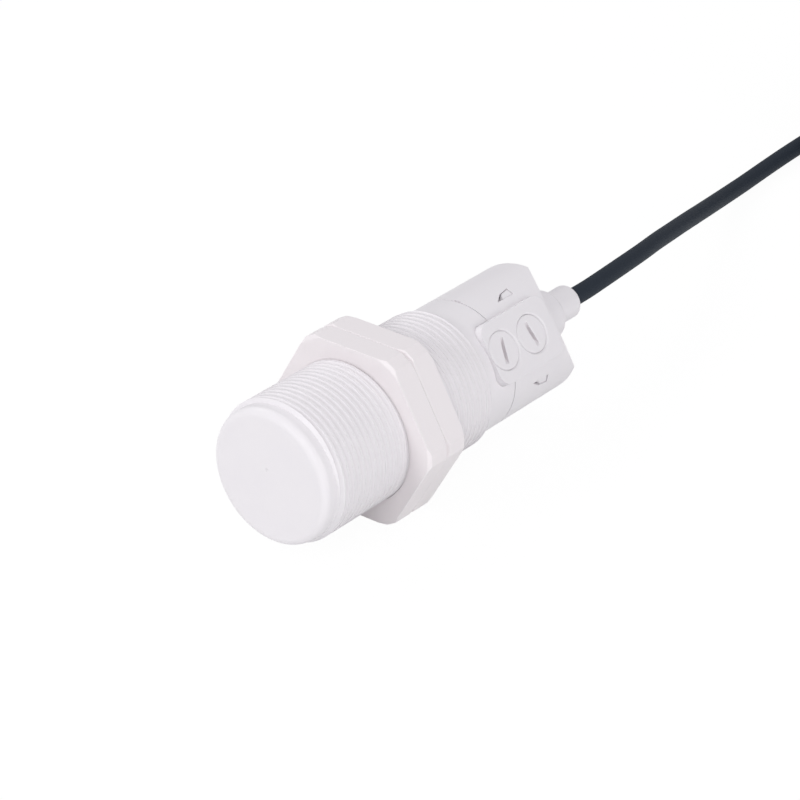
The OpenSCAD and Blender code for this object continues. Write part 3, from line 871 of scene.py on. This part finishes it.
def cap_edge_share(middle):
    """Rounding of the rear cap: full round the pad's face, half at the rear end, and fine elsewhere."""
    if pad_height(middle) > PAD_FACE_ZONE and not in_a_seat(middle):
        return FULL_SHARE
    if middle.x - FACE_X > CAP_END_ZONE:
        return CAP_END_SHARE
    return CAP_DETAIL_SHARE


def nut_edge_share(middle):
    """Rounding of a nut: full outside, and fine at the mouth of its thread."""
    if math.hypot(middle.y, middle.z - AXIS_HEIGHT) < NUT_MOUTH_ZONE:
        return NUT_MOUTH_SHARE
    return FULL_SHARE


def even_share(middle):
    return FULL_SHARE


def make_rounded_piece(node, body, width, edge_share=even_share, slot="white_plastic"):
    """A copy of a CAD node with its edges rounded, as moulding leaves them."""
    piece = merged_copy("rounded_" + node, node)
    shell = bmesh.new()
    shell.from_mesh(piece.data)
    weight = shell.edges.layers.float.new("bevel_weight_edge")
    for edge in shell.edges:
        if edge.calc_face_angle(0) > ROUNDED_EDGE_ANGLE:
            edge[weight] = edge_share((edge.verts[0].co + edge.verts[1].co) / 2)
    shell.to_mesh(piece.data)
    shell.free()
    rounding = piece.modifiers.new("rounding", "BEVEL")
    rounding.width = width
    rounding.segments = ROUNDING_SEGMENTS
    rounding.limit_method = "WEIGHT"
    rounding.use_clamp_overlap = True
    apply_modifiers(piece)
    shade_by_angle(piece, ROUNDED_SHADING)
    smooth_turned_faces(piece, ROUNDED_SHADING)
    stand_in(piece, body, node, slot)


def trim_at(shell, x, side):
    """Cuts a closed shell off square at x, on the side given as -1 or 1, and closes it again."""
    everything = [*shell.verts, *shell.edges, *shell.faces]
    cut = bmesh.ops.bisect_plane(
        shell,
        geom=everything,
        dist=MERGE_DISTANCE,
        plane_co=(x, 0, 0),
        plane_no=(side, 0, 0),
        clear_outer=True,
    )
    rim = [part for part in cut["geom_cut"] if isinstance(part, bmesh.types.BMEdge)]
    bmesh.ops.triangle_fill(shell, use_beauty=True, edges=rim)


def make_nut_thread(nut, tree):
    """The thread inside a nut, trimmed at both of the nut's faces."""
    ridge = add_object(nut + "_thread", bpy.data.meshes.new(nut + "_thread"))
    grow(ridge, tree, "nut_plastic")
    low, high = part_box(nut)
    shell = bmesh.new()
    shell.from_mesh(ridge.data)
    bmesh.ops.remove_doubles(shell, verts=shell.verts, dist=MERGE_DISTANCE)
    trim_at(shell, low[0] + NUT_THREAD_INSET, -1)
    trim_at(shell, high[0] - NUT_THREAD_INSET, 1)
    bmesh.ops.recalc_face_normals(shell, faces=shell.faces)
    shell.to_mesh(ridge.data)
    shell.free()
    shade_by_angle(ridge, THREAD_SHADING)
    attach(ridge, nut)
    finish_with(ridge, "nut_plastic")


def make_threaded_barrel(tree):
    barrel = merged_copy("threaded_barrel", "barrel")
    grow(barrel, tree, "white_plastic")
    shade_by_angle(barrel, THREAD_SHADING)
    smooth_turned_faces(barrel, THREAD_SHADING)
    stand_in(barrel, "sensor", "barrel", "white_plastic")


thread_turns = thread_turns_group()
make_threaded_barrel(barrel_thread_group(thread_turns))
nut_thread = nut_thread_group(thread_turns)
make_rounded_piece("rear_cap", "sensor", CAP_ROUNDING, cap_edge_share)
for nut in ("front_nut", "rear_nut"):
    make_rounded_piece(nut, nut, NUT_ROUNDING, nut_edge_share, "nut_plastic")
    make_nut_thread(nut, nut_thread)
make_rounded_piece("sensitivity_plug", "sensitivity_plug", PLUG_ROUNDING)
make_rounded_piece("delay_plug", "delay_plug", PLUG_ROUNDING)
make_rounded_piece("cable_gland", "sensor", GLAND_ROUNDING)
make_rounded_piece("bend_sleeve", "sensor", SLEEVE_ROUNDING)

for part in frame["record"]["subparts"]:
    finish_with(nodes[part["node"]], part["material_slot"])
finish_with(cable, "cable_black")
for core, colour in zip(cores, CORE_COLOURS):
    finish_with(core, f"core_{colour}")


# Floor and light
def make_floor():
    """A pale floor: white to the camera, with the object's soft shadow left in."""
    material, tree, surface = new_material("pale_floor")
    surface.inputs["Base Color"].default_value = (0.8, 0.8, 0.8, 1)
    surface.inputs["Roughness"].default_value = 0.9
    path = tree.nodes.new("ShaderNodeLightPath")
    seen = calculation(tree, "MAXIMUM")
    seen_through = calculation(tree, "MAXIMUM")
    share = calculation(tree, "MULTIPLY")
    share.inputs[1].default_value = FLOOR_WHITE
    white = tree.nodes.new("ShaderNodeEmission")
    white.inputs["Color"].default_value = (1, 1, 1, 1)
    white.inputs["Strength"].default_value = FLOOR_GLOW
    both = tree.nodes.new("ShaderNodeMixShader")
    tree.links.new(path.outputs["Is Camera Ray"], seen.inputs[0])
    tree.links.new(path.outputs["Is Glossy Ray"], seen.inputs[1])
    tree.links.new(seen.outputs["Value"], seen_through.inputs[0])
    tree.links.new(path.outputs["Is Transmission Ray"], seen_through.inputs[1])
    tree.links.new(seen_through.outputs["Value"], share.inputs[0])
    tree.links.new(share.outputs["Value"], both.inputs["Fac"])
    tree.links.new(surface.outputs["BSDF"], both.inputs[1])
    tree.links.new(white.outputs["Emission"], both.inputs[2])
    tree.links.new(both.outputs["Shader"], tree.nodes["Material Output"].inputs["Surface"])
    mesh = bpy.data.meshes.new("floor")
    half = FLOOR_HALF_WIDTH
    corners = [(-half, -half, 0), (half, -half, 0), (half, half, 0), (-half, half, 0)]
    mesh.from_pydata(corners, [], [(0, 1, 2, 3)])
    mesh.materials.append(material)
    floor = add_object("floor", mesh)
    floor.location.z = -FLOOR_BELOW


def make_world():
    world = bpy.data.worlds.new("studio")
    bpy.context.scene.world = world
    world.use_nodes = True
    tree = world.node_tree
    soft = tree.nodes["Background"]
    soft.inputs["Color"].default_value = WORLD_TINT
    soft.inputs["Strength"].default_value = WORLD_STRENGTH
    white = tree.nodes.new("ShaderNodeBackground")
    white.inputs["Color"].default_value = (1, 1, 1, 1)
    path = tree.nodes.new("ShaderNodeLightPath")
    both = tree.nodes.new("ShaderNodeMixShader")
    tree.links.new(path.outputs["Is Camera Ray"], both.inputs["Fac"])
    tree.links.new(soft.outputs["Background"], both.inputs[1])
    tree.links.new(white.outputs["Background"], both.inputs[2])
    tree.links.new(both.outputs["Shader"], tree.nodes["World Output"].inputs["Surface"])


def make_lamp(name, place, power):
    """A round soft box that faces the sensor."""
    data = bpy.data.lights.new(name, "AREA")
    data.shape = "DISK"
    data.size = LAMP_SIZE
    data.energy = power
    lamp = add_object(name, data)
    lamp.location = place
    to_sensor = Vector((0, 0, AXIS_HEIGHT)) - Vector(place)
    lamp.rotation_euler = to_sensor.to_track_quat("-Z", "Y").to_euler()


make_floor()
make_world()
for name, place, power in LAMPS:
    make_lamp(name, place, power)
bpy.context.scene.view_settings.view_transform = "Standard"
